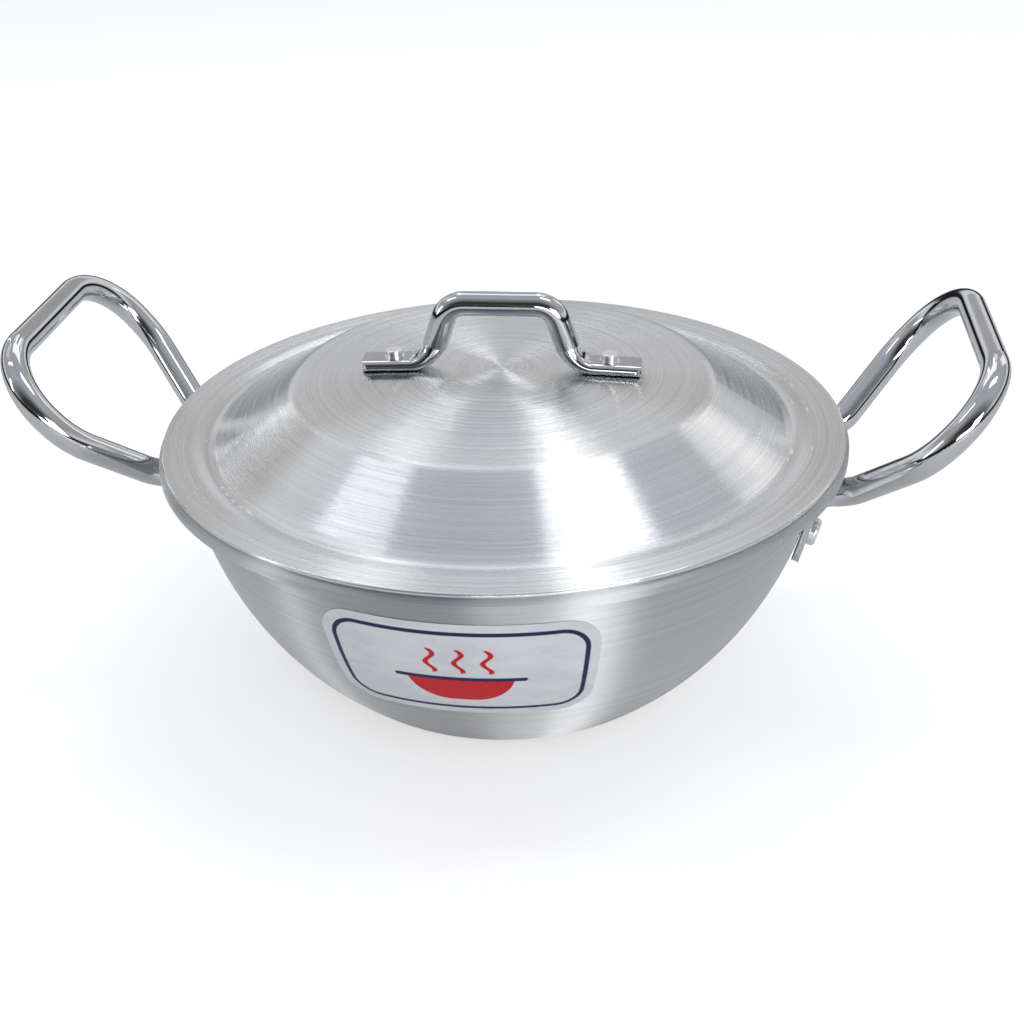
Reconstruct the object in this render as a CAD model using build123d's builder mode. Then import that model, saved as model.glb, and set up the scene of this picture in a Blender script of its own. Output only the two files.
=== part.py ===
from build123d import *
import math
import os

# A kadai: a round-bottomed aluminium cooking bowl with a flanged rim, a lid with a sloping
# skirt and a shallow dome, two tube side handles and one tube lid handle. Every tube handle
# ends in tabs, where the tube is pressed flat, turned against the sheet and riveted through.
# Millimetres. The origin is the middle of the base, +Z is up, the side handles point along X.

# Bowl
rim_radius = 150.5
rim_height = 112.0
rim_lip_height = 4.8
rim_lip_thickness = 3.0
rim_shoulder_width = 2.6
rim_shoulder_drop = 1.8
rim_edge_round = 0.6
bowl_sheet = 3.0
flange_width = 11.0
flange_root = 2.0
mouth_round = 2.4
base_radius = 82.0
base_corner = 13.0
wall_curve = 155.0

# Lid
lid_edge_setback = 1.5
lid_sheet = 2.0
lid_seat_gap = 0.3
lid_edge_round = 0.9
valley_play = 4.5
valley_width = 6.5
valley_depth = 1.7
skirt_foot_width = 5.5
skirt_foot_rise = 1.1
skirt_width = 32.0
shoulder_rise = 21.8
dome_rise = 25.2
shoulder_round = 9.0
foot_round = 7.0
valley_round = 7.0

# Side handles
tube_diameter = 12.0
tube_wall = 1.5
tab_seam = 0.3
tab_corner = 7.0
tab_clearance = 0.15
leg_azimuth = 13.0
tab_below_rivet = 15.0
foot_below_rim = 13.7
foot_bend = 11.0
neck_reach = 4.2
neck_below_rim = 10.6
neck_bend = 14.0
leg_reach = 25.4
leg_spread = 23.7
leg_rise = 15.3
leg_bend = 36.0
grip_lean = 26.1
grip_spread = 1.5
grip_rise = 31.3
grip_bend = 28.0

# Side handle rivets
rivet_below_rim = 31.0
rivet_shank = 5.0
rivet_head = 12.0
rivet_head_height = 3.4
rivet_head_round = 1.6
rivet_tail = 10.0
rivet_tail_height = 1.6
rivet_tail_round = 0.6
hole_clearance = 0.1

# Lid handle
lid_tube_diameter = 11.0
lid_tube_wall = 1.2
lid_tab_gap = 2.3
lid_tab_corner = 3.0
lid_tab_beyond_rivet = 14.0
lid_tab_clearance = 0.1
lid_foot_reach = 31.5
lid_foot_bend = 12.0
lid_leg_lean = 9.0
lid_grip_rise = 28.7
lid_grip_bend = 10.0

# Lid rivets
lid_rivet_beyond_foot = 15.2
lid_rivet_shank = 4.0
lid_rivet_collar = 8.8
lid_rivet_collar_height = 0.7
lid_rivet_head = 7.8
lid_rivet_head_height = 2.9
lid_rivet_head_round = 0.7
lid_rivet_tail = 7.0
lid_rivet_tail_height = 1.2
lid_rivet_tail_round = 0.4

cut_overrun = 5.0


def pressed_width(diameter, thickness):
    """Width of a round tube pressed to a thickness: the length round it stays as it was."""
    return math.pi * (diameter - thickness) / 2 + thickness


def round_outline(plane, diameter):
    """The free tube, drawn as four quarter arcs so that it blends into the pressed outline."""
    half = diameter / 2
    corner = half * math.sin(math.radians(45))
    with BuildSketch(plane) as outline:
        with BuildLine():
            ThreePointArc((-corner, corner), (0, half), (corner, corner))
            ThreePointArc((corner, corner), (half, 0), (corner, -corner))
            ThreePointArc((corner, -corner), (0, -half), (-corner, -corner))
            ThreePointArc((-corner, -corner), (-half, 0), (-corner, corner))
        make_face()
    return outline.sketch


def pressed_outline(plane, diameter, thickness):
    """The pressed tube: flat above and below, round at both edges."""
    half = thickness / 2
    flat = pressed_width(diameter, thickness) / 2 - half
    with BuildSketch(plane) as outline:
        with BuildLine():
            Line((-flat, half), (flat, half))
            ThreePointArc((flat, half), (flat + half, 0), (flat, -half))
            Line((flat, -half), (-flat, -half))
            ThreePointArc((-flat, -half), (-flat - half, 0), (-flat, half))
        make_face()
    return outline.sketch


# The bowl's wall is one arc from the corner of the base to the mouth under the flange. Its
# centre lies inside the bowl, on the middle normal of the chord between those two points.
mouth_radius = rim_radius - flange_width
flange_underside = rim_height - bowl_sheet
lip_foot = rim_height - rim_lip_height
chord_out = mouth_radius - base_radius
chord_up = flange_underside
chord = math.hypot(chord_out, chord_up)
centre_distance = math.sqrt(wall_curve**2 - (chord / 2) ** 2)
wall_centre_radius = (base_radius + mouth_radius) / 2 - centre_distance * chord_up / chord
wall_centre_height = chord_up / 2 + centre_distance * chord_out / chord


def wall_radius(height, depth):
    """Radius of the wall at a height, on the surface that lies a depth inside the outer one."""
    return wall_centre_radius + math.sqrt(
        (wall_curve - depth) ** 2 - (height - wall_centre_height) ** 2
    )


# A frame on the wall for a handle rivet, which sits square to the sheet.
def wall_frame(azimuth, height):
    """Plane on the wall at an azimuth and height: z points out of the wall, x up along it."""
    radius = wall_radius(height, 0)
    around = math.radians(azimuth)
    lean_out = (radius - wall_centre_radius) / wall_curve
    lean_up = (height - wall_centre_height) / wall_curve
    out = Vector(math.cos(around), math.sin(around), 0)
    return Plane(
        origin=out * radius + Vector(0, 0, height),
        x_dir=out * -lean_up + Vector(0, 0, lean_out),
        z_dir=out * lean_out + Vector(0, 0, lean_up),
    )


leg_azimuths = {
    "right_front": -leg_azimuth,
    "right_rear": leg_azimuth,
    "left_front": 180 + leg_azimuth,
    "left_rear": 180 - leg_azimuth,
}
rivet_height = rim_height - rivet_below_rim
rivet_frames = {name: wall_frame(turn, rivet_height) for name, turn in leg_azimuths.items()}

inner_top = (wall_radius(rim_height, bowl_sheet), rim_height)
inner_foot = (wall_radius(bowl_sheet, bowl_sheet), bowl_sheet)
lip_inside = rim_radius - rim_lip_thickness

with BuildPart() as bowl:
    with BuildSketch(Plane.XZ) as bowl_section:
        with BuildLine():
            Line((0, 0), (base_radius, 0))
            RadiusArc((base_radius, 0), (mouth_radius, flange_underside), -wall_curve)
            Polyline(
                (mouth_radius, flange_underside),
                (lip_inside, flange_underside),
                (lip_inside, lip_foot),
                (rim_radius, lip_foot),
                (rim_radius, rim_height - rim_shoulder_drop),
                (rim_radius - rim_shoulder_width, rim_height),
                inner_top,
            )
            RadiusArc(inner_top, inner_foot, wall_curve - bowl_sheet)
            Polyline(inner_foot, (0, bowl_sheet), (0, 0))
        make_face()
        corners = bowl_section.vertices()
        fillet(corners.sort_by_distance((base_radius, 0))[0], base_corner)
        fillet(corners.sort_by_distance(inner_foot)[0], base_corner - bowl_sheet)
        fillet(corners.sort_by_distance((mouth_radius, flange_underside))[0], flange_root)
        fillet(corners.sort_by_distance(inner_top)[0], mouth_round)
        for corner in (
            (lip_inside, lip_foot),
            (rim_radius, lip_foot),
            (rim_radius, rim_height - rim_shoulder_drop),
            (rim_radius - rim_shoulder_width, rim_height),
        ):
            fillet(corners.sort_by_distance(corner)[0], rim_edge_round)
    revolve(axis=Axis.Z)
    for frame in rivet_frames.values():
        with BuildSketch(frame):
            Circle(rivet_shank / 2 + hole_clearance)
        extrude(amount=bowl_sheet + cut_overrun, both=True, mode=Mode.SUBTRACT)

# The lid is one sheet. Its upper face is drawn from the middle of the dome to the edge, and
# the lower face is that line moved in by the sheet, so the thickness is even all over. The
# valley at the skirt's foot dips below the rim and keeps the lid in the middle of the mouth.
lid_radius = rim_radius - lid_edge_setback
valley_outer_radius = mouth_radius - valley_play
valley_radius = valley_outer_radius - valley_width
skirt_foot_radius = valley_radius - skirt_foot_width
shoulder_radius = skirt_foot_radius - skirt_width
lid_plane = rim_height + lid_seat_gap
lid_top = lid_plane + lid_sheet
dome_top = lid_top + dome_rise
shoulder = (shoulder_radius, lid_top + shoulder_rise)
skirt_foot = (skirt_foot_radius, lid_top + skirt_foot_rise)
valley = (valley_radius, lid_top - valley_depth)
valley_outer = (valley_outer_radius, lid_top)
dome_sagitta = dome_rise - shoulder_rise
dome_curve = (shoulder_radius**2 + dome_sagitta**2) / (2 * dome_sagitta)


def dome_frame(reach):
    """Plane on the dome at a distance from the middle along X: z square to the sheet, x outward."""
    turn = math.asin(reach / dome_curve)
    height = dome_top - dome_curve * (1 - math.cos(turn))
    return Plane(
        origin=(reach, 0, height),
        x_dir=(math.cos(turn), 0, -math.sin(turn)),
        z_dir=(math.sin(turn), 0, math.cos(turn)),
    )


lid_rivet_reach = lid_foot_reach + lid_rivet_beyond_foot
lid_rivet_frames = {
    "right": dome_frame(lid_rivet_reach),
    "left": dome_frame(-lid_rivet_reach),
}

with BuildPart() as lid:
    with BuildSketch(Plane.XZ) as lid_section:
        with BuildLine() as lid_line:
            RadiusArc((0, dome_top), shoulder, dome_curve)
            Polyline(shoulder, skirt_foot, valley, valley_outer, (lid_radius, lid_top))
            bends = lid_line.vertices()
            fillet(bends.sort_by_distance(shoulder)[0], shoulder_round)
            fillet(bends.sort_by_distance(skirt_foot)[0], foot_round)
            fillet(bends.sort_by_distance(valley)[0], valley_round)
            fillet(bends.sort_by_distance(valley_outer)[0], valley_round)
            offset(amount=lid_sheet, side=Side.RIGHT, closed=True)
        make_face()
        edge_corners = lid_section.vertices().group_by(Axis.X)[-1]
        fillet(edge_corners, lid_edge_round)
    revolve(axis=Axis.Z)
    for frame in lid_rivet_frames.values():
        with BuildSketch(frame):
            Circle(lid_rivet_shank / 2 + hole_clearance)
        extrude(amount=lid_sheet + cut_overrun, both=True, mode=Mode.SUBTRACT)


# The pressed end of a tube is a slot as wide as the flattened tube, and turns into the free
# tube through the bend at the handle's foot. The bend opens slowly at first, so that the
# growing tube stays clear of the sheet that the tab lies on.
foot_step_shares = (0, 0.34, 0.67, 1)
foot_opening_power = 1.7


def tube_form(points, radii, across, diameter, thickness):
    """Half a handle's outer or inner form: pressed flat, opening at the foot, then round."""
    with BuildPart() as form:
        with BuildLine():
            route = FilletPolyline(*points, radius=radii)
        tab_run, foot_run, *free_runs = route.edges()
        tab_end = Plane(origin=points[0], x_dir=across, z_dir=tab_run % 0)
        extrude(pressed_outline(tab_end, diameter, thickness), amount=tab_run.length)
        stages = []
        for step in foot_step_shares:
            section = Plane(origin=foot_run @ step, x_dir=across, z_dir=foot_run % step)
            opened = (diameter - thickness) * step**foot_opening_power
            if step == foot_step_shares[-1]:
                stages.append(round_outline(section, diameter))
            else:
                stages.append(pressed_outline(section, diameter, thickness + opened))
        loft(stages)
        sweep(stages[-1], path=Wire(free_runs))
    return form.part


def half_handle(points, radii, across, diameter, wall, seam, corner):
    """Half a tube handle, hollow all the way to the seam that shows at the tab's end."""
    thickness = 2 * wall + seam
    width = pressed_width(diameter, thickness)
    along = (points[1] - points[0]).normalized()
    with BuildPart() as half:
        add(tube_form(points, radii, across, diameter, thickness))
        bore = tube_form(points, radii, across, diameter - 2 * wall, seam)
        add(bore, mode=Mode.SUBTRACT)
        with BuildSketch(Plane(origin=points[0], x_dir=along, z_dir=along.cross(across))):
            Rectangle(2 * corner, width + cut_overrun)
            with Locations((width / 2, 0)):
                RectangleRounded(width, width, corner, mode=Mode.SUBTRACT)
        extrude(amount=diameter, both=True, mode=Mode.SUBTRACT)
    return half.part


tab_thickness = 2 * tube_wall + tab_seam
tab_middle = tab_clearance + tab_thickness / 2
rear_frame = rivet_frames["right_rear"]
leg_turn = math.radians(leg_azimuth)
tab_start = rear_frame.origin + rear_frame.z_dir * tab_middle
tab_up = rear_frame.x_dir
tab_low_height = rivet_height - tab_below_rivet
foot_height = rim_height - foot_below_rim
neck_radius = rim_radius + neck_reach
neck_height = rim_height - neck_below_rim
leg_out = rim_radius + leg_reach
leg_half_width = neck_radius * math.sin(leg_turn) + leg_spread
leg_height = rim_height + leg_rise
grip_out = leg_out + grip_lean
grip_half_width = leg_half_width + grip_spread
grip_height = leg_height + grip_rise
handle_points = [
    tab_start + tab_up * ((tab_low_height - tab_start.Z) / tab_up.Z),
    tab_start + tab_up * ((foot_height - tab_start.Z) / tab_up.Z),
    Vector(neck_radius * math.cos(leg_turn), neck_radius * math.sin(leg_turn), neck_height),
    Vector(leg_out, leg_half_width, leg_height),
    Vector(grip_out, grip_half_width, grip_height),
    Vector(grip_out, 0, grip_height),
]

with BuildPart() as right_handle:
    add(
        half_handle(
            handle_points,
            [foot_bend, neck_bend, leg_bend, grip_bend],
            Vector(-math.sin(leg_turn), math.cos(leg_turn), 0),
            tube_diameter,
            tube_wall,
            tab_seam,
            tab_corner,
        )
    )
    with BuildSketch(rear_frame):
        Circle(rivet_shank / 2 + hole_clearance)
    extrude(amount=tab_middle + cut_overrun, both=True, mode=Mode.SUBTRACT)
    mirror(about=Plane.XZ)

with BuildPart() as left_handle:
    mirror(right_handle.part, about=Plane.YZ)


lid_tab_thickness = 2 * lid_tube_wall + lid_tab_gap
lid_tab_middle = lid_tab_clearance + lid_tab_thickness / 2
right_dome_frame = lid_rivet_frames["right"]
lid_tab_start = right_dome_frame.origin + right_dome_frame.z_dir * lid_tab_middle
lid_tab_out = right_dome_frame.x_dir
lid_tab_reach = lid_rivet_reach + lid_tab_beyond_rivet
lid_grip_reach = lid_foot_reach - lid_leg_lean
lid_grip_height = dome_top + lid_grip_rise
lid_handle_points = [
    lid_tab_start + lid_tab_out * ((lid_tab_reach - lid_tab_start.X) / lid_tab_out.X),
    lid_tab_start + lid_tab_out * ((lid_foot_reach - lid_tab_start.X) / lid_tab_out.X),
    Vector(lid_grip_reach, 0, lid_grip_height),
    Vector(0, 0, lid_grip_height),
]

with BuildPart() as lid_handle:
    add(
        half_handle(
            lid_handle_points,
            [lid_foot_bend, lid_grip_bend],
            Vector(0, 1, 0),
            lid_tube_diameter,
            lid_tube_wall,
            lid_tab_gap,
            lid_tab_corner,
        )
    )
    with BuildSketch(right_dome_frame):
        Circle(lid_rivet_shank / 2 + hole_clearance)
    extrude(amount=lid_tab_middle + cut_overrun, both=True, mode=Mode.SUBTRACT)
    mirror(about=Plane.YZ)


def round_off(frame, level, radius):
    """Rounds the edge of the flat end that lies at a level along the frame's axis."""
    end = frame.offset(level).origin
    fillet(faces().sort_by_distance(end)[0].edges(), radius)


def disc(frame, level, diameter, height):
    """A round stage of a rivet, standing on a level along the frame's axis."""
    with BuildSketch(frame.offset(level)) as outline:
        Circle(diameter / 2)
    extrude(outline.sketch, amount=height)


# A side handle's rivet: a round head on the tab, and its closed tail inside the bowl.
handle_rivets = {}
for name, frame in rivet_frames.items():
    head_seat = tab_clearance + tab_thickness
    tail_seat = -bowl_sheet - tab_clearance
    with BuildPart() as rivet:
        disc(frame, head_seat, rivet_head, rivet_head_height)
        round_off(frame, head_seat + rivet_head_height, rivet_head_round)
        disc(frame, tail_seat - rivet_tail_height, rivet_tail, rivet_tail_height)
        round_off(frame, tail_seat - rivet_tail_height, rivet_tail_round)
        disc(frame, tail_seat, rivet_shank, head_seat - tail_seat)
    handle_rivets[name] = rivet

# A lid rivet: a narrower head on a thin collar, and its closed tail under the dome.
lid_rivets = {}
for name, frame in lid_rivet_frames.items():
    head_seat = lid_tab_clearance + lid_tab_thickness
    head_base = head_seat + lid_rivet_collar_height
    tail_seat = -lid_sheet - lid_tab_clearance
    with BuildPart() as rivet:
        disc(frame, head_base, lid_rivet_head, lid_rivet_head_height)
        round_off(frame, head_base + lid_rivet_head_height, lid_rivet_head_round)
        disc(frame, head_seat, lid_rivet_collar, lid_rivet_collar_height)
        disc(frame, tail_seat - lid_rivet_tail_height, lid_rivet_tail, lid_rivet_tail_height)
        round_off(frame, tail_seat - lid_rivet_tail_height, lid_rivet_tail_round)
        disc(frame, tail_seat, lid_rivet_shank, head_seat - tail_seat)
    lid_rivets[name] = rivet

pieces = {
    "kadai_bowl": bowl,
    "lid": lid,
    "lid_handle": lid_handle,
    "side_handle_right": right_handle,
    "side_handle_left": left_handle,
}
for name, rivet in handle_rivets.items():
    pieces[f"handle_rivet_{name}"] = rivet
for name, rivet in lid_rivets.items():
    pieces[f"lid_rivet_{name}"] = rivet

os.makedirs("parts", exist_ok=True)
for name, piece in pieces.items():
    piece.part.label = name
    export_step(piece.part, f"parts/{name}.step")
    print(name, "volume", round(piece.part.volume), "valid", piece.part.is_valid)
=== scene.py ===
# %% [markdown]
# # A lidded aluminium kadai
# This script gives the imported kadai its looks. The shapes of the metal come from the packed
# frame, so here we set up the camera, the light and the floor, mix the metals from nodes, and
# build the one thing that the frame lacks: the thin vinyl label on the bowl's wall.
# All lengths are metres, +Z is up, and the side handles point along X.

# %% Load the frame
import math

import bpy
from mathutils import Matrix, Vector


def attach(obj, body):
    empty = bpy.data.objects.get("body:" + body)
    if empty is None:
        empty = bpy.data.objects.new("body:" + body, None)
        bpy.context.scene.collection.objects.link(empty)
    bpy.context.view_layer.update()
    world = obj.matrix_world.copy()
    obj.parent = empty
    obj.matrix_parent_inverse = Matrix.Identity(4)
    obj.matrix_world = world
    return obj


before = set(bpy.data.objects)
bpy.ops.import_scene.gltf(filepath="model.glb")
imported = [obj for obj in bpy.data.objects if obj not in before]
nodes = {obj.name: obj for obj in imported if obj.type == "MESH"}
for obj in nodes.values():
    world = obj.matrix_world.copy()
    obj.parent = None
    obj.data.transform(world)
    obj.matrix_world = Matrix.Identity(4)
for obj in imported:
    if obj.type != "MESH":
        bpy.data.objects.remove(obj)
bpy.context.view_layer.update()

scene = bpy.context.scene
print("pieces in the frame:", len(nodes))

# %% [markdown]
# ## Camera
# The photo was taken from about 28 degrees above the horizon. The pot stands turned by seven
# degrees, with its right handle nearer to the viewer, so the camera goes round by that angle.
# The picture leans a little too, which is a roll of the camera. Two small steps, aside and
# upwards, put the pot where it stands in the frame.

# %% Camera
PICTURE = 1024
FOCAL_PIXELS = 1600
SENSOR = 36
AIM_HEIGHT = 0.060
DISTANCE = 0.7335
ELEVATION = math.radians(28.4)
ROLL = math.radians(-1.6)
TURN = math.radians(7.0)
ASIDE = 0.0025
ABOVE = 0.0067

forward = Vector((0, math.cos(ELEVATION), -math.sin(ELEVATION)))
level_up = Vector((0, math.sin(ELEVATION), math.cos(ELEVATION)))
level_right = Vector((1, 0, 0))
right = math.cos(ROLL) * level_right + math.sin(ROLL) * level_up
up = math.cos(ROLL) * level_up - math.sin(ROLL) * level_right
stand = Matrix((right, up, -forward)).transposed().to_4x4()
stand.translation = (
    Vector((0, 0, AIM_HEIGHT)) + ASIDE * right + ABOVE * up - DISTANCE * forward
)

bpy.ops.object.camera_add()
camera = bpy.context.object
camera.name = "photo_camera"
camera.data.sensor_width = SENSOR
camera.data.lens = FOCAL_PIXELS * SENSOR / PICTURE
camera.matrix_world = Matrix.Rotation(TURN, 4, "Z") @ stand
scene.camera = camera
scene.view_settings.view_transform = "Standard"
print("camera at", [round(v, 3) for v in camera.matrix_world.translation])

# %% [markdown]
# ## Node helpers
# Materials, the floor and the world are all built from nodes. Three short helpers keep those
# cells readable: one adds a node and sets or links its sockets in one go, one gives a colour
# ramp its stops, and one darkens a colour.


# %% Node helpers
def add_node(tree, kind, settings=None, **sockets):
    """Adds a shader node. A socket is named by its label, or i0, i1 and so on by its place."""
    node = tree.nodes.new(kind)
    for name, value in (settings or {}).items():
        setattr(node, name, value)
    for name, value in sockets.items():
        key = int(name[1:]) if name[0] == "i" and name[1:].isdigit() else name.replace("_", " ")
        if isinstance(value, bpy.types.NodeSocket):
            tree.links.new(value, node.inputs[key])
        else:
            node.inputs[key].default_value = value
    return node


def fill_ramp(ramp, stops):
    """Gives a colour ramp its stops, listed from the lowest place to the highest."""
    elements = ramp.color_ramp.elements
    (lowest, low_colour), *between, (highest, high_colour) = stops
    elements[1].position = highest
    elements[1].color = high_colour
    elements[0].position = lowest
    elements[0].color = low_colour
    for place, colour in between:
        elements.new(place).color = colour


def darkened(colour, share):
    """The colour at a share of its brightness, with a full alpha."""
    return (*(share * channel for channel in colour[:3]), 1)


# %% [markdown]
# ## Floor
# The floor is plain and pale. It is wide enough to fill the picture, and it takes the soft
# shadow under the bowl. A glow that only the camera sees brings it near to white without any
# more light on the metal, and the metal mirrors no more than a faint glow.

# %% Floor
FLOOR_SIZE = 7.0
FLOOR_COLOUR = (0.84, 0.84, 0.84, 1)
FLOOR_GLOW_SEEN = 0.46
FLOOR_GLOW_MIRRORED = 0.05
WHITE = (1, 1, 1, 1)

bpy.ops.object.select_all(action="DESELECT")
bpy.ops.mesh.primitive_plane_add(size=FLOOR_SIZE)
floor = bpy.context.object
floor.name = "floor"
print("floor:", FLOOR_SIZE, "m square")

# %% Floor paint
floor_paint = bpy.data.materials.new("floor_paint")
floor_paint.use_nodes = True
paint = floor_paint.node_tree
paint.nodes.clear()
matt = add_node(paint, "ShaderNodeBsdfDiffuse", Color=FLOOR_COLOUR)
ray = add_node(paint, "ShaderNodeLightPath")
mirrored = add_node(
    paint,
    "ShaderNodeMath",
    {"operation": "MULTIPLY"},
    i0=ray.outputs["Is Glossy Ray"],
    i1=FLOOR_GLOW_MIRRORED,
)
seen_glow = add_node(
    paint,
    "ShaderNodeMath",
    {"operation": "MULTIPLY_ADD"},
    i0=ray.outputs["Is Camera Ray"],
    i1=FLOOR_GLOW_SEEN,
    i2=mirrored.outputs[0],
)
glow = add_node(paint, "ShaderNodeEmission", Color=WHITE, Strength=seen_glow.outputs[0])
lit = add_node(paint, "ShaderNodeAddShader", i0=matt.outputs[0], i1=glow.outputs[0])
add_node(paint, "ShaderNodeOutputMaterial", Surface=lit.outputs[0])
floor.data.materials.append(floor_paint)
print("floor paint nodes:", len(paint.nodes))

# %% [markdown]
# ## World
# The camera sees plain white behind the floor. The metal sees a studio instead. Its colour goes
# by height: a dark band at the horizon, which draws the dark lines along the polished tubes, a
# bright band just over it, and a soft grey ceiling. The studio gets darker behind the camera,
# as a room does behind a photographer, so the metal isn't lit evenly from all sides.

# %% World
STUDIO_DARK = (0.015, 0.015, 0.02, 1)
STUDIO_STOPS = (
    (0.0, STUDIO_DARK),
    (0.12, STUDIO_DARK),
    (0.16, (0.70, 0.71, 0.73, 1)),
    (0.27, (0.95, 0.97, 1.0, 1)),
    (0.36, (0.52, 0.52, 0.53, 1)),
    (0.47, (0.48, 0.47, 0.455, 1)),
    (0.68, (0.54, 0.56, 0.59, 1)),
    (1.0, (0.50, 0.54, 0.61, 1)),
)

world = scene.world or bpy.data.worlds.new("studio")
scene.world = world
world.use_nodes = True
sky = world.node_tree
sky.nodes.clear()
direction = add_node(sky, "ShaderNodeTexCoord")
split = add_node(sky, "ShaderNodeSeparateXYZ", Vector=direction.outputs["Generated"])
studio = add_node(sky, "ShaderNodeValToRGB", Fac=split.outputs["Z"])
fill_ramp(studio, STUDIO_STOPS)
print("studio stops:", len(studio.color_ramp.elements))

# %% What each ray sees
BEHIND_DARKEST = -0.80
BEHIND_STARTS = -0.35
BEHIND_STRENGTH = 0.10

behind_camera = add_node(
    sky,
    "ShaderNodeMapRange",
    Value=split.outputs["Y"],
    From_Min=BEHIND_DARKEST,
    From_Max=BEHIND_STARTS,
    To_Min=BEHIND_STRENGTH,
    To_Max=1.0,
)
seen = add_node(sky, "ShaderNodeLightPath")
studio_light = add_node(
    sky,
    "ShaderNodeBackground",
    Color=studio.outputs["Color"],
    Strength=behind_camera.outputs[0],
)
white = add_node(sky, "ShaderNodeBackground", Color=WHITE, Strength=1.0)
backdrop = add_node(
    sky,
    "ShaderNodeMixShader",
    i0=seen.outputs["Is Camera Ray"],
    i1=studio_light.outputs[0],
    i2=white.outputs[0],
)
add_node(sky, "ShaderNodeOutputWorld", Surface=backdrop.outputs[0])
print("world nodes:", len(sky.nodes))

# %% [markdown]
# ## Lights
# On metal that is brushed in rings, a light shows where the ring's direction is square to the
# half-way vector between the light and the viewer. So most soft boxes draw a mark of their own.
# - box_right and box_left, overhead, make the two bright patches on the lid's skirt.
# - The ray and cap boxes, high at the back, make the rays on the cap and the haze beside them.
# - The back-right boxes lie inside one another, so that their broad band has soft sides.
# - The shoulder and side boxes light the bend between cap and skirt.
# - The strip at the back left makes the thin line there.
# - The front boxes are low, and light the bowl's wall with upright streaks.


# %% Soft box
LAMP_AIM = Vector((0, 0, 0.1))


def soft_box(name, toward, distance, width, height, power):
    """A rectangular light that looks at the kadai from a direction seen by the camera."""
    place = Matrix.Rotation(TURN, 3, "Z") @ Vector(toward).normalized() * distance
    bpy.ops.object.light_add(type="AREA", location=place + LAMP_AIM)
    lamp = bpy.context.object
    lamp.name = name
    lamp.data.shape = "RECTANGLE"
    lamp.data.size = width
    lamp.data.size_y = height
    lamp.data.energy = power
    lamp.rotation_euler = (-place).to_track_quat("-Z", "Y").to_euler()


# %% Lights
NEAR = 1.7
FAR = 1.9
BACK_RIGHT = (0.66, 0.55, 0.5)
BACK_RIGHT_WIDTHS = (0.50, 0.34, 0.18)
BACK_RIGHT_HEIGHT = 0.7
BACK_RIGHT_WATTS_PER_METRE = 1.75

# Each row: name, direction from the kadai, distance, width, height, watts.
BOXES_OVERHEAD = (
    ("box_right", (0.33, 0.02, 0.95), NEAR, 0.28, 0.7, 2.2),
    ("box_left", (-0.55, 0.06, 0.83), NEAR, 0.12, 0.6, 0.95),
)
BOXES_ROUND = (
    ("shoulder_box", (0.0, 0.50, 0.86), NEAR, 1.05, 0.45, 1.5),
    ("side_left", (-0.60, 0.42, 0.66), NEAR, 0.7, 0.5, 0.3),
    ("strip_back_left", (-0.62, 0.75, 0.35), FAR, 0.03, 0.9, 0.25),
    ("front_right", (0.42, -0.80, 0.25), NEAR, 0.60, 0.6, 6),
    ("front_left", (-0.927, -0.225, 0.3), NEAR, 0.16, 0.6, 1.4),
    ("front_fill", (0.15, -0.95, 0.13), NEAR, 1.2, 0.3, 5),
    ("ray_right", (0.10, 0.66, 0.74), NEAR, 0.10, 0.4, 0.5),
    ("ray_left", (-0.17, 0.69, 0.70), NEAR, 0.06, 0.4, 0.3),
    ("cap_right", (0.25, 0.70, 0.65), NEAR, 0.35, 0.35, 0.18),
    ("cap_left", (-0.27, 0.70, 0.65), NEAR, 0.35, 0.35, 0.15),
)

for box in BOXES_OVERHEAD:
    soft_box(*box)
for number, width in enumerate(BACK_RIGHT_WIDTHS):
    watts = BACK_RIGHT_WATTS_PER_METRE * width
    soft_box(f"box_back_right_{number}", BACK_RIGHT, FAR, width, BACK_RIGHT_HEIGHT, watts)
for box in BOXES_ROUND:
    soft_box(*box)
print("soft boxes:", len(bpy.data.lights))

# %% [markdown]
# ## Turned sheet
# The bowl and the lid were spun and then brushed in rings. Their grain is fine noise that is
# stretched along the rings: its place is the direction round the axis, which changes slowly,
# and the distance along the sheet, which changes fast. Because the direction comes back to
# itself after a full turn, the pattern has no seam.


# %% Ring noise
GRAIN_DETAIL = 3.0
GRAIN_ROUGHNESS = 0.6


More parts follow.
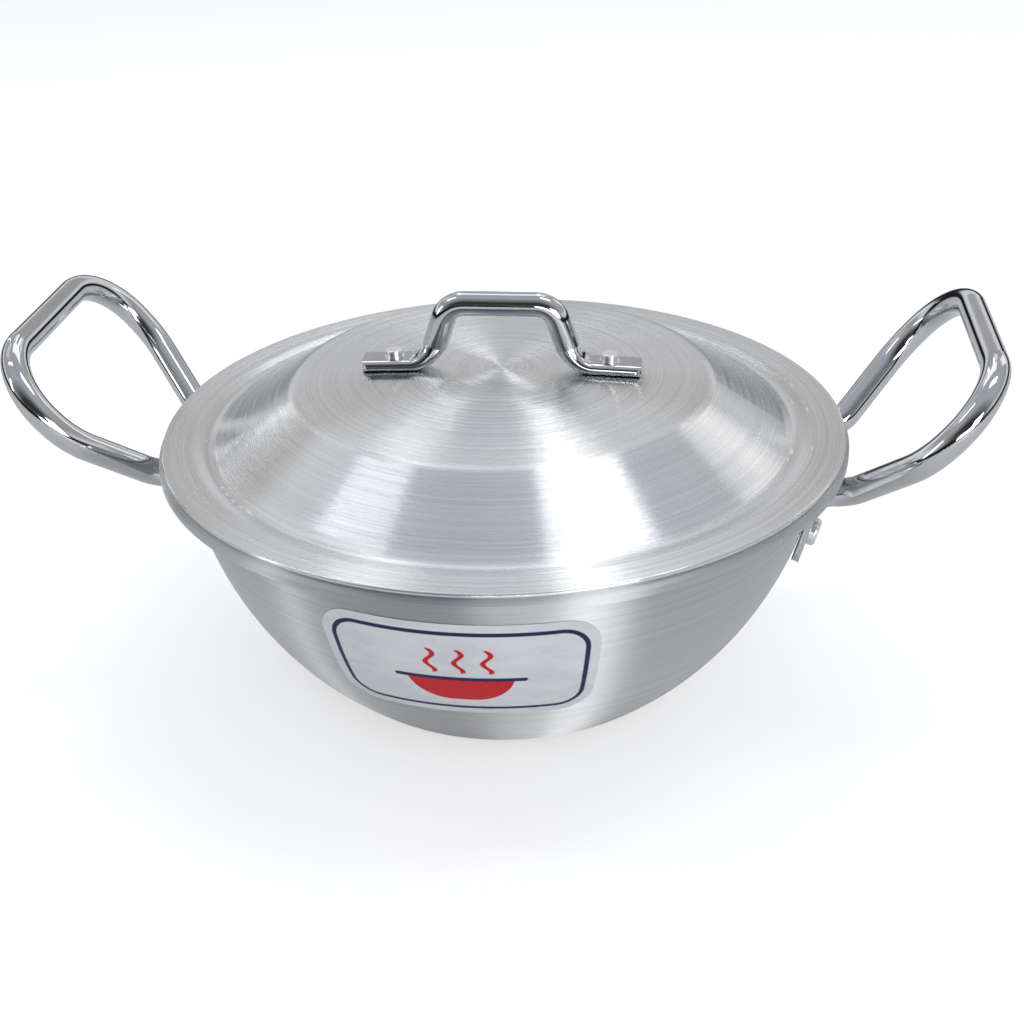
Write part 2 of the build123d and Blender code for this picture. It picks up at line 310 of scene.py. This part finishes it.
def ring_grain(tree, rise, around, across):
    """Noise in rings round Z. Rise says how much a step up counts against a step outward."""
    place = add_node(tree, "ShaderNodeTexCoord").outputs["Object"]
    axes = add_node(tree, "ShaderNodeSeparateXYZ", Vector=place)
    flat = add_node(tree, "ShaderNodeCombineXYZ", X=axes.outputs["X"], Y=axes.outputs["Y"])
    reach = add_node(tree, "ShaderNodeVectorMath", {"operation": "LENGTH"}, i0=flat.outputs[0])
    heading = add_node(
        tree, "ShaderNodeVectorMath", {"operation": "NORMALIZE"}, i0=flat.outputs[0]
    )
    turned = add_node(
        tree, "ShaderNodeVectorMath", {"operation": "SCALE"}, i0=heading.outputs[0], Scale=around
    )
    lift = add_node(
        tree, "ShaderNodeMath", {"operation": "MULTIPLY"}, i0=axes.outputs["Z"], i1=rise
    )
    along = add_node(
        tree,
        "ShaderNodeMath",
        {"operation": "ADD"},
        i0=reach.outputs["Value"],
        i1=lift.outputs[0],
    )
    rings = add_node(
        tree, "ShaderNodeMath", {"operation": "MULTIPLY"}, i0=along.outputs[0], i1=across
    )
    third = add_node(tree, "ShaderNodeCombineXYZ", Z=rings.outputs[0])
    spot = add_node(
        tree,
        "ShaderNodeVectorMath",
        {"operation": "ADD"},
        i0=turned.outputs[0],
        i1=third.outputs[0],
    )
    grain = add_node(
        tree,
        "ShaderNodeTexNoise",
        Vector=spot.outputs[0],
        Scale=1.0,
        Detail=GRAIN_DETAIL,
        Roughness=GRAIN_ROUGHNESS,
    )
    return grain.outputs["Fac"]


# %% [markdown]
# The colour swings a little between a darker and a lighter grey with the grain. A few sparse
# light specks lie on it, like the small bright marks on the real sheet.


# %% Sheet colour
TONE_DARK_AT = 0.36
TONE_LIGHT_AT = 0.62
TONE_DARK_SHARE = 0.84
SPECKS_PER_METRE = 34.0
SPECK_SHARE = 0.017


def sheet_colour(tree, tone, tint):
    """The tint, darkened along the grain and flecked with a few white specks."""
    ramp = add_node(tree, "ShaderNodeValToRGB", Fac=tone)
    dark = darkened(tint, TONE_DARK_SHARE)
    fill_ramp(ramp, ((TONE_DARK_AT, dark), (TONE_LIGHT_AT, (*tint, 1))))
    dots = add_node(
        tree,
        "ShaderNodeTexVoronoi",
        Vector=add_node(tree, "ShaderNodeTexCoord").outputs["Object"],
        Scale=SPECKS_PER_METRE,
    )
    speck = add_node(
        tree,
        "ShaderNodeMath",
        {"operation": "LESS_THAN"},
        i0=dots.outputs["Distance"],
        i1=SPECK_SHARE,
    )
    flecked = add_node(tree, "ShaderNodeMix", {"data_type": "RGBA"}, i0=speck.outputs[0])
    tree.links.new(ramp.outputs[0], flecked.inputs[6])
    flecked.inputs[7].default_value = WHITE
    return flecked.outputs[2]


# %% [markdown]
# The gloss is stretched, as real brushing stretches it: the anisotropy spreads a highlight
# across the rings and keeps it narrow along them. A quarter turn points it the right way,
# because the tangent runs round the axis. The fine grain also drives the bump and the gloss.


# %% Sheet metal
FINE_AROUND = 0.5
FINE_ACROSS = 1500.0
BROAD_AROUND = 0.3
BROAD_ACROSS = 520.0
GRAIN_LOW = 0.3
GRAIN_HIGH = 0.7
GLOSS_SWING = 0.05
RELIEF_DEPTH = 0.0001
QUARTER_TURN = 0.25


def turned_sheet(name, tint, rise, roughness, bump):
    """Aluminium sheet that was spun and brushed in rings round the Z axis."""
    metal = bpy.data.materials.new(name)
    metal.use_nodes = True
    tree = metal.node_tree
    shader = tree.nodes["Principled BSDF"]
    fine = ring_grain(tree, rise, FINE_AROUND, FINE_ACROSS)
    broad = ring_grain(tree, rise, BROAD_AROUND, BROAD_ACROSS)
    tone = add_node(tree, "ShaderNodeMix", {"data_type": "FLOAT"}, Factor=0.5, A=fine, B=broad)
    colour = sheet_colour(tree, tone.outputs[0], tint)
    tree.links.new(colour, shader.inputs["Base Color"])
    gloss = add_node(
        tree,
        "ShaderNodeMapRange",
        Value=fine,
        From_Min=GRAIN_LOW,
        From_Max=GRAIN_HIGH,
        To_Min=roughness - GLOSS_SWING,
        To_Max=roughness + GLOSS_SWING,
    )
    tree.links.new(gloss.outputs[0], shader.inputs["Roughness"])
    relief = add_node(
        tree, "ShaderNodeBump", Height=fine, Strength=bump, Distance=RELIEF_DEPTH
    )
    tree.links.new(relief.outputs[0], shader.inputs["Normal"])
    rings = add_node(tree, "ShaderNodeTangent", {"direction_type": "RADIAL", "axis": "Z"})
    tree.links.new(rings.outputs[0], shader.inputs["Tangent"])
    shader.inputs["Metallic"].default_value = 1.0
    shader.inputs["Anisotropic"].default_value = 1.0
    shader.inputs["Anisotropic Rotation"].default_value = QUARTER_TURN
    return metal


# %% [markdown]
# The bowl is duller than the lid. Up the bowl's wall, height and radius grow together, so both
# count the same way in the grain. Down the lid the sheet falls as it goes outward, so there the
# height counts the other way.

# %% Bowl and lid metals
BOWL_TINT = (0.80, 0.805, 0.82)
BOWL_RISE = 1.0
BOWL_ROUGHNESS = 0.48
BOWL_BUMP = 0.09
LID_TINT = (0.86, 0.865, 0.875)
LID_RISE = -0.8
LID_ROUGHNESS = 0.25
LID_BUMP = 0.08

bowl_metal = turned_sheet("bowl_aluminium", BOWL_TINT, BOWL_RISE, BOWL_ROUGHNESS, BOWL_BUMP)
lid_metal = turned_sheet("lid_aluminium", LID_TINT, LID_RISE, LID_ROUGHNESS, LID_BUMP)
print("nodes in a sheet metal:", len(lid_metal.node_tree.nodes))

# %% [markdown]
# ## Tubes and rivets
# The handle tubes are polished. Soft clouds of wear make their gloss and tint uneven, and fine
# pits break up the reflections a little. The rivets use the same recipe, paler and duller.


# %% Polished metal
WEAR_SCALE = 60.0
WEAR_DETAIL = 5.0
WEAR_LOW = 0.35
WEAR_HIGH = 0.7
WEAR_SWING = 0.07
WORN_SHARE = 0.93
PIT_SCALE = 900.0
PIT_DETAIL = 3.0
PIT_BUMP = 0.03


def polished_metal(name, tint, roughness):
    """Bright metal with faint cloudy wear in its gloss."""
    metal = bpy.data.materials.new(name)
    metal.use_nodes = True
    tree = metal.node_tree
    shader = tree.nodes["Principled BSDF"]
    place = add_node(tree, "ShaderNodeTexCoord").outputs["Object"]
    wear = add_node(
        tree, "ShaderNodeTexNoise", Vector=place, Scale=WEAR_SCALE, Detail=WEAR_DETAIL
    )
    gloss = add_node(
        tree,
        "ShaderNodeMapRange",
        Value=wear.outputs["Fac"],
        From_Min=WEAR_LOW,
        From_Max=WEAR_HIGH,
        To_Min=roughness,
        To_Max=roughness + WEAR_SWING,
    )
    tree.links.new(gloss.outputs[0], shader.inputs["Roughness"])
    pits = add_node(tree, "ShaderNodeTexNoise", Vector=place, Scale=PIT_SCALE, Detail=PIT_DETAIL)
    relief = add_node(
        tree,
        "ShaderNodeBump",
        Height=pits.outputs["Fac"],
        Strength=PIT_BUMP,
        Distance=RELIEF_DEPTH,
    )
    tree.links.new(relief.outputs[0], shader.inputs["Normal"])
    tone = add_node(tree, "ShaderNodeValToRGB", Fac=wear.outputs["Fac"])
    fill_ramp(tone, ((0.0, darkened(tint, WORN_SHARE)), (1.0, (*tint, 1))))
    tree.links.new(tone.outputs[0], shader.inputs["Base Color"])
    shader.inputs["Metallic"].default_value = 1.0
    return metal


# %% Tube and rivet metals
TUBE_TINT = (0.62, 0.625, 0.64)
TUBE_ROUGHNESS = 0.05
RIVET_TINT = (0.90, 0.90, 0.91)
RIVET_ROUGHNESS = 0.24

tube_metal = polished_metal("polished_tube", TUBE_TINT, TUBE_ROUGHNESS)
rivet_metal = polished_metal("rivet_aluminium", RIVET_TINT, RIVET_ROUGHNESS)
print("nodes in a polished metal:", len(tube_metal.node_tree.nodes))

# %% [markdown]
# Each piece of the frame now gets its metal. Whatever isn't sheet or tube is a rivet.

# %% Give each piece its metal
metals = {
    "kadai_bowl": bowl_metal,
    "lid": lid_metal,
    "lid_handle": tube_metal,
    "side_handle_right": tube_metal,
    "side_handle_left": tube_metal,
}
for name, node in nodes.items():
    metal = metals.get(name, rivet_metal)
    for material_slot in node.material_slots:
        material_slot.material = metal
    print(name, "is", metal.name)

# %% [markdown]
# ## Label
# A thin vinyl label sticks to the front of the bowl. On the real pot it is cut flat and pressed
# onto the wall, so we do the same: a flat plane gets rounded corners, it is cut into narrow
# strips so that it can bend, and then each point is laid on the wall.

# %% Label blank
LABEL_WIDTH = 0.108
LABEL_HEIGHT = 0.058
LABEL_CORNER = 0.014
LABEL_CORNER_STEPS = 8
LABEL_STRIPS = 30
LABEL_ROWS = 16

bpy.ops.object.select_all(action="DESELECT")
bpy.ops.mesh.primitive_plane_add(size=1)
label = bpy.context.object
label.name = "front_label"
bpy.ops.object.mode_set(mode="EDIT")
bpy.ops.mesh.select_all(action="SELECT")
bpy.ops.transform.resize(value=(LABEL_WIDTH, LABEL_HEIGHT, 1))
bpy.ops.mesh.bevel(offset=LABEL_CORNER, segments=LABEL_CORNER_STEPS, affect="VERTICES")
for strip in range(1, LABEL_STRIPS):
    bpy.ops.mesh.select_all(action="SELECT")
    cut_at = LABEL_WIDTH * (strip / LABEL_STRIPS - 0.5)
    bpy.ops.mesh.bisect(plane_co=(cut_at, 0, 0), plane_no=(1, 0, 0))
for row in range(1, LABEL_ROWS):
    bpy.ops.mesh.select_all(action="SELECT")
    cut_at = LABEL_HEIGHT * (row / LABEL_ROWS - 0.5)
    bpy.ops.mesh.bisect(plane_co=(0, cut_at, 0), plane_no=(0, 1, 0))
bpy.ops.object.mode_set(mode="OBJECT")
print("label faces:", len(label.data.polygons))

# %% [markdown]
# The print follows the label, not the pot, so the flat places are kept as the label's own UV map
# before it is bent.

# %% Keep the flat places
flat_places = label.data.uv_layers.active.data
for loop in label.data.loops:
    flat = label.data.vertices[loop.vertex_index].co
    flat_places[loop.index].uv = (flat.x / LABEL_WIDTH + 0.5, flat.y / LABEL_HEIGHT + 0.5)
print("flat places kept:", len(flat_places))

# %% [markdown]
# The wall is one arc turned round the axis. The arc's centre lies a little beyond the axis and
# 120.86 mm up. The label lies a hair outside the arc, so that it never dips into the metal.
# Laid this way, the label keeps its height along the arc, and its middle row keeps its width.

# %% Label on the wall
WALL_CURVE = 0.155
WALL_CENTRE_RADIUS = -0.01505
WALL_CENTRE_HEIGHT = 0.12086
LABEL_MIDDLE_DROP = math.radians(20.6)
LABEL_AZIMUTH = math.radians(-91.5)
LABEL_CLEARANCE = 0.0002

skin = WALL_CURVE + LABEL_CLEARANCE
middle_radius = WALL_CENTRE_RADIUS + skin * math.cos(LABEL_MIDDLE_DROP)
for vertex in label.data.vertices:
    drop = LABEL_MIDDLE_DROP - vertex.co.y / skin
    turn = LABEL_AZIMUTH + vertex.co.x / middle_radius
    radius = WALL_CENTRE_RADIUS + skin * math.cos(drop)
    height = WALL_CENTRE_HEIGHT - skin * math.sin(drop)
    vertex.co = (radius * math.cos(turn), radius * math.sin(turn), height)
print("label from", round(min(v.co.z for v in label.data.vertices), 4), "m up")

# %% Label thickness
LABEL_THICKNESS = 0.0002
SHARP_ANGLE = math.radians(40)

bpy.ops.object.select_all(action="DESELECT")
label.select_set(True)
bpy.context.view_layer.objects.active = label
bpy.ops.object.modifier_add(type="SOLIDIFY")
label.modifiers[-1].thickness = LABEL_THICKNESS
label.modifiers[-1].offset = 1
bpy.ops.object.modifier_apply(modifier=label.modifiers[-1].name)
bpy.ops.object.shade_smooth_by_angle(angle=SHARP_ANGLE)
print("label faces when solid:", len(label.data.polygons))

# %% [markdown]
# ## Print
# The print is made of plain shapes, each a mask of ones and noughts on the label's own
# coordinates: a rounded frame, three wavy lines of steam, and a bowl with a flat lip.


# %% Mask helpers
EDGE_SOFTNESS = 0.0002


def calculate(tree, operation, first, second=0.0):
    """One step of arithmetic on sockets or numbers."""
    node = add_node(tree, "ShaderNodeMath", {"operation": operation}, i0=first, i1=second)
    return node.outputs[0]


def rounded_mask(tree, x, y, half_width, half_height, corner):
    """One inside a rounded rectangle round the middle, nought outside it."""
    beyond_x = calculate(tree, "SUBTRACT", calculate(tree, "ABSOLUTE", x), half_width - corner)
    beyond_y = calculate(tree, "SUBTRACT", calculate(tree, "ABSOLUTE", y), half_height - corner)
    square_x = calculate(tree, "POWER", calculate(tree, "MAXIMUM", beyond_x, 0.0), 2.0)
    square_y = calculate(tree, "POWER", calculate(tree, "MAXIMUM", beyond_y, 0.0), 2.0)
    reach = calculate(tree, "SQRT", calculate(tree, "ADD", square_x, square_y))
    edge = add_node(
        tree,
        "ShaderNodeMapRange",
        Value=reach,
        From_Min=corner - EDGE_SOFTNESS,
        From_Max=corner + EDGE_SOFTNESS,
        To_Min=1.0,
        To_Max=0.0,
    )
    return edge.outputs[0]


def paint_over(tree, ground, mask, colour):
    """The ground colour with another one laid over it where the mask is one."""
    node = add_node(tree, "ShaderNodeMix", {"data_type": "RGBA"}, i0=mask)
    tree.links.new(ground, node.inputs[6])
    if isinstance(colour, bpy.types.NodeSocket):
        tree.links.new(colour, node.inputs[7])
    else:
        node.inputs[7].default_value = colour
    return node.outputs[2]


# %% [markdown]
# The vinyl is silvery and a little cloudy. Its coordinates are measured in metres from the
# label's middle, so that the print can be laid out in real sizes.

# %% Silvery vinyl
SILVER = (0.77, 0.785, 0.82, 1)
CLOUD_SCALE = 5.0
CLOUD_DETAIL = 6.0
CLOUD_LOW = 0.3
CLOUD_HIGH = 0.7
CLOUD_DARK_SHARE = 0.86

vinyl = bpy.data.materials.new("label_vinyl")
vinyl.use_nodes = True
ink = vinyl.node_tree
vinyl_shader = ink.nodes["Principled BSDF"]
on_label = add_node(ink, "ShaderNodeUVMap", {"uv_map": label.data.uv_layers.active.name})
parts = add_node(ink, "ShaderNodeSeparateXYZ", Vector=on_label.outputs[0])
from_middle_x = calculate(ink, "SUBTRACT", parts.outputs["X"], 0.5)
from_middle_y = calculate(ink, "SUBTRACT", parts.outputs["Y"], 0.5)
across = calculate(ink, "MULTIPLY", from_middle_x, LABEL_WIDTH)
upward = calculate(ink, "MULTIPLY", from_middle_y, LABEL_HEIGHT)
cloud = add_node(
    ink, "ShaderNodeTexNoise", Vector=on_label.outputs[0], Scale=CLOUD_SCALE, Detail=CLOUD_DETAIL
)
foil = add_node(ink, "ShaderNodeValToRGB", Fac=cloud.outputs["Fac"])
fill_ramp(foil, ((CLOUD_LOW, darkened(SILVER, CLOUD_DARK_SHARE)), (CLOUD_HIGH, SILVER)))
print("vinyl stops:", [round(stop.position, 2) for stop in foil.color_ramp.elements])

# %% Frame line
NAVY = (0.010, 0.016, 0.085, 1)
FRAME_HALF_WIDTH = 0.050
FRAME_HALF_HEIGHT = 0.025
FRAME_CORNER = 0.0115
FRAME_LINE = 0.002

frame_outer = rounded_mask(
    ink, across, upward, FRAME_HALF_WIDTH, FRAME_HALF_HEIGHT, FRAME_CORNER
)
frame_inner = rounded_mask(
    ink,
    across,
    upward,
    FRAME_HALF_WIDTH - FRAME_LINE,
    FRAME_HALF_HEIGHT - FRAME_LINE,
    FRAME_CORNER - FRAME_LINE,
)
picture = paint_over(ink, foil.outputs[0], frame_outer, NAVY)
picture = paint_over(ink, picture, frame_inner, foil.outputs[0])
print("frame line:", 1000 * FRAME_LINE, "mm")

# %% [markdown]
# A steam line is a thin upright bar. Taking a sine of the height from its place across bends it
# into a wave.

# %% Steam
RED = (0.60, 0.010, 0.018, 1)
STEAM_PLACES = (-0.011, 0.0, 0.011)
STEAM_HEIGHT = 0.0085
STEAM_HALF_WIDTH = 0.0011
STEAM_HALF_HEIGHT = 0.0072
STEAM_SWING = 0.0016
STEAM_RADIANS_PER_METRE = 620.0

steam_angle = calculate(ink, "MULTIPLY", upward, STEAM_RADIANS_PER_METRE)
wave = calculate(ink, "MULTIPLY", calculate(ink, "SINE", steam_angle), STEAM_SWING)
higher = calculate(ink, "SUBTRACT", upward, STEAM_HEIGHT)
for middle in STEAM_PLACES:
    beside = calculate(ink, "SUBTRACT", calculate(ink, "SUBTRACT", across, middle), wave)
    line = rounded_mask(
        ink, beside, higher, STEAM_HALF_WIDTH, STEAM_HALF_HEIGHT, STEAM_HALF_WIDTH
    )
    picture = paint_over(ink, picture, line, RED)
print("steam lines:", len(STEAM_PLACES))

# %% [markdown]
# The printed bowl is a rounded shape that is cut off level, with a navy lip laid over the cut.

# %% Printed bowl
BOWL_HALF_WIDTH = 0.0215
BOWL_HALF_HEIGHT = 0.0175
BOWL_CORNER = 0.0170
BOWL_CUT = -0.0030
LIP_HALF_WIDTH = 0.0265
LIP_HALF_HEIGHT = 0.0011
LIP_DROP = 0.0024

bowl_shape = rounded_mask(ink, across, upward, BOWL_HALF_WIDTH, BOWL_HALF_HEIGHT, BOWL_CORNER)
below_cut = calculate(ink, "LESS_THAN", upward, BOWL_CUT)
bowl_shape = calculate(ink, "MULTIPLY", bowl_shape, below_cut)
picture = paint_over(ink, picture, bowl_shape, RED)
from_lip = calculate(ink, "ADD", upward, LIP_DROP)
lip = rounded_mask(ink, across, from_lip, LIP_HALF_WIDTH, LIP_HALF_HEIGHT, LIP_HALF_HEIGHT)
picture = paint_over(ink, picture, lip, NAVY)
ink.links.new(picture, vinyl_shader.inputs["Base Color"])
print("nodes in the print:", len(ink.nodes))

# %% [markdown]
# Last come the faint wrinkles of a label that was pressed on by hand, and its uneven gloss. The
# label then rides with the pot and takes its own material slot.

# %% Wrinkles and gloss
RIPPLE_SCALE = 9.0
RIPPLE_DETAIL = 3.0
RIPPLE_BUMP = 0.25
RIPPLE_DEPTH = 0.0004
VINYL_GLOSSIEST = 0.22
VINYL_DULLEST = 0.36
VINYL_SPECULAR = 0.25

ripple = add_node(
    ink, "ShaderNodeTexNoise", Vector=on_label.outputs[0], Scale=RIPPLE_SCALE, Detail=RIPPLE_DETAIL
)
wrinkle = add_node(
    ink,
    "ShaderNodeBump",
    Height=ripple.outputs["Fac"],
    Strength=RIPPLE_BUMP,
    Distance=RIPPLE_DEPTH,
)
ink.links.new(wrinkle.outputs[0], vinyl_shader.inputs["Normal"])
vinyl_gloss = add_node(
    ink,
    "ShaderNodeMapRange",
    Value=cloud.outputs["Fac"],
    From_Min=CLOUD_LOW,
    From_Max=CLOUD_HIGH,
    To_Min=VINYL_GLOSSIEST,
    To_Max=VINYL_DULLEST,
)
ink.links.new(vinyl_gloss.outputs[0], vinyl_shader.inputs["Roughness"])
vinyl_shader.inputs["Specular IOR Level"].default_value = VINYL_SPECULAR
label.data.materials.append(vinyl)
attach(label, "pot")
print("label material:", vinyl.name)
